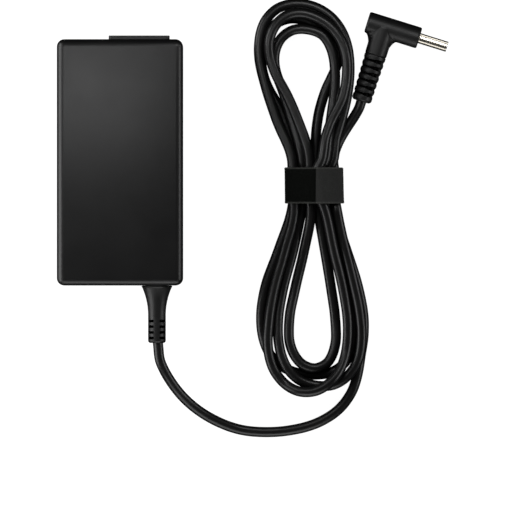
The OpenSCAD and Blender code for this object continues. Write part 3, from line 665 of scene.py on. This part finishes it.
def slots(places, width_at, depth_at, waist=0.0):
    """A cut for turned(): a slot at each place, as wide and deep as its lateral place says.

    A waist also draws in the whole ring a little at each place. The bore isn't cut, and the
    slots end just short of it.
    """
    def cut(along, radius, lateral):
        off = np.min([np.abs(along - place) for place in places], axis=0)
        half = width_at(lateral) / 2
        sunk = depth_at(lateral) * (1 - smoothstep(off, half - slot_edge, half + slot_edge))
        drawn_in = waist * (1 - smoothstep(off, 0, waist_reach))
        cut_down = np.maximum(radius - sunk - drawn_in, bore + bore_wall)
        return np.where(radius > bore + 2 * bore_wall, cut_down, radius)
    return cut


def crisp(piece, angle):
    """Shades surfaces apart where they meet at more than angle degrees."""
    piece.data.set_sharp_from_angle(angle=math.radians(angle))
    return piece


moulding_sides = 128
moulding_step = 0.1
slot_wall_angle = 32
bore = cable_r + 0.08
bore_wall = 0.15
slot_edge = 0.07
waist_reach = 1.1

# The boot: a neck through the case's wall, a flange behind the wall, and a flare outside it
boot_l = case_low[1] - boot_low[1]
boot_root_r = 6.7
boot_end_r = 3.8
flare_l = 12.6
neck_r = 4.6
flange_r = 6.4
flange_front = -2.35
flange_back = -4.3
slot_count = 4
slot_first = 15.2
slot_pitch = 2.45
slot_w = 1.0
slot_depth = 1.6
# Between these places across the boot, its slots deepen beside the spine or end at a rail
spine_right = (1.2, 1.5)
spine_left = (1.4, 1.7)
boot_rail = (3.2, 3.45)

flare = [
    (flare_l * t, boot_end_r + (boot_root_r - boot_end_r) * (1 - t) ** 2)
    for t in np.linspace(0, 1, 24)
]
boot_outline = rounded_outline([
    (flange_back, bore), (flange_back, flange_r), (flange_front, flange_r), (flange_front, neck_r),
    (0.05, neck_r), (0.05, boot_root_r - 0.5), (0.35, boot_root_r), *flare[2:],
    (boot_l - 0.7, boot_end_r), (boot_l, boot_end_r - 0.6), (boot_l, bore)
], 0.35, closed=True)


def boot_slot_width(lateral):
    """The boot's slots have one width."""
    return slot_w


def boot_slot_depth(lateral):
    """The boot's slots leave a spine in the middle, off centre, and a rail at each side."""
    beside_spine = smoothstep(lateral, *spine_right) + smoothstep(-lateral, *spine_left)
    return slot_depth * beside_spine * (1 - smoothstep(np.abs(lateral), *boot_rail))


slot_places = [slot_first + slot_pitch * k for k in range(slot_count)]
boot_rings = turned(
    filled_in(boot_outline, moulding_step), moulding_sides,
    origin=(boot_x, case_low[1], boot_z), axis=(0, -1, 0), across=(1, 0, 0),
    cut=slots(slot_places, boot_slot_width, boot_slot_depth)
)
case_boot = crisp(make_object("case_boot", *skin(boot_rings, wrap_rows=True)), slot_wall_angle)
place_piece(case_boot, "adapter", "cable_boot")


# ---- Plug ----

plug_mount = next(m for m in frame["record"]["mounts"] if m["name"] == "dc_plug")
barrel_axis = np.array(plug_mount["axis"])
stem_axis = np.array([barrel_axis[1], -barrel_axis[0], 0.0])
arm_r = 4.65
arm_back = 7.7
arm_front = 15.8
barrel_l = plug_mount["dims"]["length_mm"]
elbow = np.array(plug_mount["pos_m"]) / MM - barrel_axis * (arm_front + barrel_l / 2)
barrel_hole_r = 3.1
barrel_hole_l = 9.0
skirt_l = 12.7
skirt_root_r = 4.85
skirt_end_r = 4.7
# Shapes without a bore start and end this close to their axis
near_axis = 0.01

arm_outline = rounded_outline([
    (-arm_back, near_axis), (-arm_back, arm_r), (arm_front, arm_r), (arm_front, barrel_hole_r),
    (arm_front - barrel_hole_l, barrel_hole_r), (arm_front - barrel_hole_l, near_axis)
], 0.9)
skirt_outline = rounded_outline(
    [(0, near_axis), (0, skirt_root_r), (skirt_l, skirt_end_r), (skirt_l, near_axis)], 0.5
)
# A flat web that fills the two corners between the arm and the skirt
web_outline = np.array([
    (0, near_axis), (0, 7.0), (arm_r, 6.6), (arm_r + 1.2, 5.6), (arm_r + 3.6, 4.6),
    (arm_r + 3.6, near_axis)
])
web_flatness = 0.62


def joined_moulding(name, parts, voxel, smoothing):
    """One skin round several overlapping closed shapes, with the creases between them softened."""
    points, faces = [], []
    for part in parts:
        part_points, part_faces = skin(part)
        faces.extend(tuple(len(points) + corner for corner in face) for face in part_faces)
        points.extend(part_points)
    piece = make_object(name, points, faces)
    remesh = piece.modifiers.new("one skin", "REMESH")
    remesh.mode = "VOXEL"
    remesh.voxel_size = voxel * MM
    remesh.use_smooth_shade = True
    relax = piece.modifiers.new("relax", "SMOOTH")
    relax.factor = 0.5
    relax.iterations = smoothing
    shaped = piece.evaluated_get(bpy.context.evaluated_depsgraph_get())
    skinned = bpy.data.meshes.new_from_object(shaped)
    piece.modifiers.clear()
    piece.data = skinned
    return piece


web_rings = turned(web_outline, moulding_sides, elbow, stem_axis, -barrel_axis)
web_rings[..., 2] = elbow[2] + (web_rings[..., 2] - elbow[2]) * web_flatness
plug_parts = [
    turned(arm_outline, moulding_sides, elbow, barrel_axis, stem_axis),
    turned(skirt_outline, moulding_sides, elbow, stem_axis, -barrel_axis),
    web_rings,
]
place_piece(joined_moulding("plug_elbow", plug_parts, 0.2, 6), "plug", "plug_housing")

rib_count = 7
rib_pitch = 2.95
rib_l = rib_count * rib_pitch
rib_end_r = 4.3
groove_narrow = 0.5
groove_wide = 1.6
groove_deep = 2.0
# Between these places across the plug's boot, its grooves widen or end at a rail
groove_widening = (-2.0, 2.5)
rib_rail = (3.7, 4.1)

rib_outline = rounded_outline([
    (0, bore), (0, skirt_end_r), (rib_l - 0.8, rib_end_r), (rib_l, rib_end_r - 0.8), (rib_l, bore)
], 0.4, closed=True)


def groove_width(lateral):
    """The grooves widen from the side of the arm's back end to the side of the barrel."""
    return groove_narrow + (groove_wide - groove_narrow) * smoothstep(-lateral, *groove_widening)


def groove_depth(lateral):
    """The grooves end at a thin rail on each side."""
    return groove_deep * (1 - smoothstep(np.abs(lateral), *rib_rail))


groove_places = [rib_pitch * k - 0.45 for k in range(1, rib_count)]
rib_rings = turned(
    filled_in(rib_outline, moulding_step), moulding_sides,
    origin=elbow + stem_axis * skirt_l, axis=stem_axis, across=-barrel_axis,
    cut=slots(groove_places, groove_width, groove_depth, waist=0.35)
)
plug_ribs = crisp(make_object("plug_ribs", *skin(rib_rings, wrap_rows=True)), slot_wall_angle)
place_piece(plug_ribs, "plug", "plug_boot")

barrel_r = plug_mount["dims"]["r_mm"]
barrel_wall = 0.3
barrel_bore = barrel_r - barrel_wall
collar_r = 3.0
barrel_root = arm_front - barrel_hole_l + 0.1
barrel_end = arm_front + barrel_l
barrel_outline = rounded_outline([
    (barrel_root, barrel_bore), (barrel_root, collar_r), (arm_front, collar_r),
    (arm_front, barrel_r), (barrel_end, barrel_r), (barrel_end, barrel_bore)
], 0.14, closed=True)
barrel_rings = turned(filled_in(barrel_outline, 0.8), moulding_sides, elbow, barrel_axis, stem_axis)
barrel_sleeve = crisp(make_object("barrel_sleeve", *skin(barrel_rings, wrap_rows=True)), 50)
place_piece(barrel_sleeve, "plug", "plug_barrel")


# ---- Strap ----

strap_w = 15.5
strap_y = strap_place[1]
strap_slack = 0.12
fabric_t = 0.7
fabric_gap = 0.05
fuzz_scale = 3.1
strap_rows = 32
around_n = 320


def strand_crossings(y):
    """Where the bundle's strands cross the plane at y, as (x, z)."""
    inside = cable_path[lead_end:tail_start]
    a, b = inside[:-1], inside[1:]
    crossing = (a[:, 1] - y) * (b[:, 1] - y) <= 0
    a, b = a[crossing], b[crossing]
    t = ((y - a[:, 1]) / (b[:, 1] - a[:, 1]))[:, None]
    return (a + (b - a) * t)[:, [0, 2]]


# The directions round the bundle in which its reach is measured, starting straight down
outline_turns = 720
outline_soften = 10
direction = np.arange(outline_turns) * 2 * math.pi / outline_turns - math.pi / 2
facing = np.stack([np.cos(direction), np.sin(direction)], axis=1)


def softened(values, width):
    """Evens out values given round a full turn."""
    away = np.arange(-3 * width, 3 * width + 1)
    weights = np.exp(-(away / width) ** 2)
    return sum(np.roll(values, k) * w for k, w in zip(away, weights)) / weights.sum()


strap_ys = np.linspace(strap_y - strap_w / 2, strap_y + strap_w / 2, strap_rows)
# How far the strands reach in each direction, row by row, and a straight taper that covers all
reaches = np.array([(strand_crossings(y) @ facing.T).max(axis=0) for y in strap_ys]) + cable_r
offsets = (strap_ys - strap_y)[:, None]
tapers = softened((reaches * offsets).sum(axis=0) / (offsets ** 2).sum(), 3 * outline_soften)
covers = softened((reaches - tapers * offsets).max(axis=0), outline_soften)


def taut_outline(y):
    """The taut outline round the bundle at y: places (x, z) and outward normals.

    Both start under the bundle and run anticlockwise at an even spacing.
    """
    reach = covers + tapers * (y - strap_y)
    rate = np.gradient(np.tile(reach, 3), direction[1] - direction[0])
    rate = rate[outline_turns:2 * outline_turns]
    sideways = np.stack([-facing[:, 1], facing[:, 0]], axis=1)
    held = facing * reach[:, None] + sideways * rate[:, None]
    closed = np.vstack([held, held[:1]])
    along = np.concatenate([[0], np.cumsum(np.linalg.norm(np.diff(closed, axis=0), axis=1))])
    even = np.linspace(0, along[-1], around_n, endpoint=False)
    places = np.stack([np.interp(even, along, closed[:, axis]) for axis in range(2)], axis=1)
    angles = np.interp(even, along, np.append(direction, direction[0] + 2 * math.pi))
    return places, np.stack([np.cos(angles), np.sin(angles)], axis=1)


taut = [taut_outline(y) for y in strap_ys]
taut_places = np.array([places for places, _ in taut])
taut_normals = np.array([normals for _, normals in taut])


hem_w = 0.8
# The strip's edges are rounded over this share of its half width
edge_round = 0.05


def strip_profile(inner, thickness, hem):
    """Outline across a fabric strip as (share of width, distance from the bundle)."""
    across = np.linspace(-1, 1, 61)
    from_edge = 1 - np.abs(across)
    bead = hem * np.exp(-(from_edge * strap_w / 2 / hem_w) ** 2)
    nose = np.sqrt(np.clip(1 - (1 - from_edge / edge_round).clip(0, 1) ** 2, 0, 1))
    middle = inner + thickness / 2
    outside = np.stack([across, middle + (thickness / 2 + bead) * nose], axis=1)
    inside = np.stack([across, middle - thickness / 2 * nose], axis=1)[::-1]
    return np.vstack([outside, inside[1:-1]])


def on_row(values, row, position):
    """Values of one row of the outline at a position between two of its places."""
    first = int(position) % around_n
    part = position - int(position)
    return values[row][first] * (1 - part) + values[row][(first + 1) % around_n] * part


def on_bundle(share, positions, distance):
    """A place on the strap: share across its width, position along each row, distance out."""
    across = (share + 1) / 2 * (strap_rows - 1)
    row = int(min(across, strap_rows - 2))
    part = across - row

    def at(values):
        near = on_row(values, row, positions[row])
        far = on_row(values, row + 1, positions[row + 1])
        return near * (1 - part) + far * part

    x, z = at(taut_places) + at(taut_normals) * distance
    return x, strap_ys[0] + (share + 1) / 2 * strap_w, z


def fabric_strip(name, steps, profile, closed, fuzz, lift=None):
    """A strip of fabric round the bundle. Each step gives its position in every row."""
    lifts = [lift(i) if lift else 0 for i in range(len(steps))]
    rings = np.array([
        [on_bundle(share, positions, distance + raised) for share, distance in profile]
        for positions, raised in zip(steps, lifts)
    ])
    for ring in rings:
        for point in ring:
            point += np.array(noise.noise_vector(Vector(point * fuzz_scale))) * fuzz
    return make_object(name, *skin(rings[:, ::-1], wrap_rows=closed, caps=not closed))


def positions_at(value, axis):
    """Positions in every row: on the top where x is value, or on the right where z is value."""
    found = []
    for places in taut_places:
        beyond = np.flatnonzero(places[:, 1 - axis] > places[:, 1 - axis].mean())
        track = places[beyond, axis]
        order = np.argsort(track)
        found.append(np.interp(value, track[order], beyond[order]))
    return np.array(found)


band_steps = np.repeat(np.arange(around_n)[:, None], strap_rows, axis=1)
band = fabric_strip(
    "strap_loop_band", band_steps, strip_profile(strap_slack, fabric_t, hem=0.12),
    closed=True, fuzz=0.035
)
place_piece(band, "coil", "strap_band")

flap_root = positions_at(strap_place[2], axis=1)
flap_end = positions_at(flap_low[0], axis=0)
flap_n = int((flap_end - flap_root).mean())
flap_steps = flap_root + np.linspace(0, 1, flap_n)[:, None] * (flap_end - flap_root)
around_step = np.linalg.norm(np.diff(taut_places[strap_rows // 2], axis=0), axis=1).mean()
hook_t = 0.45
hook_l = 9.0
landing_l = 4.0
hook_n = int(hook_l / around_step)
hook_inner = strap_slack + fabric_t + fabric_gap


def free_end_lift(i):
    """The free end stands on its hooks, and comes down to the band before them."""
    left = (flap_n - 1 - i) * around_step
    return hook_t * (1 - smoothstep(left, hook_l, hook_l + landing_l))


flap = fabric_strip(
    "strap_free_end", flap_steps, strip_profile(hook_inner + fabric_gap, fabric_t, hem=0.1),
    closed=False, fuzz=0.05, lift=free_end_lift
)
place_piece(flap, "flap", "strap_flap")

hook_pad = fabric_strip(
    "strap_hook_pad", flap_steps[-hook_n:], strip_profile(hook_inner, hook_t, hem=0.0),
    closed=False, fuzz=0.03
)
place_piece(hook_pad, "flap", "strap_hooks")


# ---- Stage, light and camera ----

picture_w = 220.2
picture_centre = (58.3, -40.1)
camera_height = 6000.0


def area_light(name, place, target, size, power, only=()):
    """A soft box at a place in millimetres, facing a target. It can be kept to a few pieces."""
    lamp = bpy.data.lights.new(name, "AREA")
    lamp.shape = "RECTANGLE"
    lamp.size, lamp.size_y = (side * MM for side in size)
    lamp.energy = power
    made = bpy.data.objects.new(name, lamp)
    made.location = Vector(place) * MM
    aim = (Vector(target) - Vector(place)).normalized()
    made.rotation_euler = aim.to_track_quat("-Z", "Y").to_euler()
    made.visible_camera = False
    bpy.context.scene.collection.objects.link(made)
    if only:
        made.light_linking.receiver_collection = bpy.data.collections.new(name + "_lit")
        for piece in only:
            made.light_linking.receiver_collection.objects.link(piece)


area_light("left_panel", (-230, -20, 100), (40, -20, 10), (500, 180), 0.95)
area_light("right_softbox", (800, -20, 270), (60, -20, 0), (700, 240), 1.8)
area_light("front_softbox", (40, -480, 170), (40, -60, 0), (500, 240), 0.9)
area_light("overhead_glow", (-30, 50, 200), (-30, 50, 0), (105, 60), 0.068)
area_light("back_glow_right", (120, 150, 220), (110, 40, 0), (140, 80), 0.15)
area_light("barrel_glow", (120, 160, 220), (130, 50, 0), (160, 90), 0.6, only=[barrel_sleeve])
area_light("barrel_rim", (190, 400, 60), (130, 50, 5), (400, 160), 0.45, only=[barrel_sleeve])


def floor_material():
    """Pale backdrop that glows evenly, takes soft shadows and is clear from below."""
    material = bpy.data.materials.new("pale_floor")
    material.use_nodes = True
    tree = material.node_tree
    tree.nodes.clear()
    place = add_node(tree, "ShaderNodeTexCoord").outputs["Object"]
    grain = add_node(tree, "ShaderNodeTexNoise", {"Vector": place, "Scale": 40.0}).outputs["Fac"]
    tone = add_node(tree, "ShaderNodeMapRange",
                    {"Value": grain, "To Min": 0.95, "To Max": 0.97}).outputs[0]
    glow = add_node(tree, "ShaderNodeEmission", {"Color": (1, 1, 1, 1), "Strength": tone})
    matt = add_node(tree, "ShaderNodeBsdfDiffuse", {"Color": (0.3, 0.3, 0.3, 1)})
    both = add_node(tree, "ShaderNodeAddShader", {0: glow.outputs[0], 1: matt.outputs[0]})
    clear = add_node(tree, "ShaderNodeBsdfTransparent")
    behind = add_node(tree, "ShaderNodeNewGeometry").outputs["Backfacing"]
    mixed = add_node(tree, "ShaderNodeMixShader",
                     {0: behind, 1: both.outputs[0], 2: clear.outputs[0]})
    output = add_node(tree, "ShaderNodeOutputMaterial")
    tree.links.new(mixed.outputs[0], output.inputs["Surface"])
    return material


floor_half = 6000
floor_z = -0.05
floor_corners = [
    (x * floor_half, y * floor_half, floor_z) for x, y in ((-1, -1), (1, -1), (1, 1), (-1, 1))
]
floor = make_object("floor", floor_corners, [(0, 1, 2, 3)], smooth=False)
floor.data.materials.append(floor_material())
floor.visible_glossy = False
floor.visible_diffuse = False

world = bpy.data.worlds.new("studio")
bpy.context.scene.world = world
world.use_nodes = True
world.node_tree.nodes.clear()
ray = add_node(world.node_tree, "ShaderNodeLightPath").outputs["Is Camera Ray"]
seen = add_node(world.node_tree, "ShaderNodeBackground", {"Color": (1, 1, 1, 1), "Strength": 0.95})
way = add_node(world.node_tree, "ShaderNodeTexCoord").outputs["Generated"]
height = add_node(world.node_tree, "ShaderNodeSeparateXYZ", {"Vector": way}).outputs["Z"]
dome = add_node(world.node_tree, "ShaderNodeMapRange", {"Value": height, "To Max": 0.015}).outputs[0]
felt = add_node(world.node_tree, "ShaderNodeBackground", {"Color": (1, 1, 1, 1), "Strength": dome})
sky = add_node(world.node_tree, "ShaderNodeMixShader",
               {0: ray, 1: felt.outputs[0], 2: seen.outputs[0]})
world_output = add_node(world.node_tree, "ShaderNodeOutputWorld")
world.node_tree.links.new(sky.outputs[0], world_output.inputs["Surface"])

bpy.context.scene.view_settings.view_transform = "Standard"

camera_data = bpy.data.cameras.new("camera")
camera_data.sensor_width = 36.0
camera_data.lens = camera_data.sensor_width * camera_height / picture_w
camera_data.clip_end = 100
camera = bpy.data.objects.new("camera", camera_data)
camera.location = Vector((*picture_centre, camera_height)) * MM
bpy.context.scene.collection.objects.link(camera)
bpy.context.scene.camera = camera
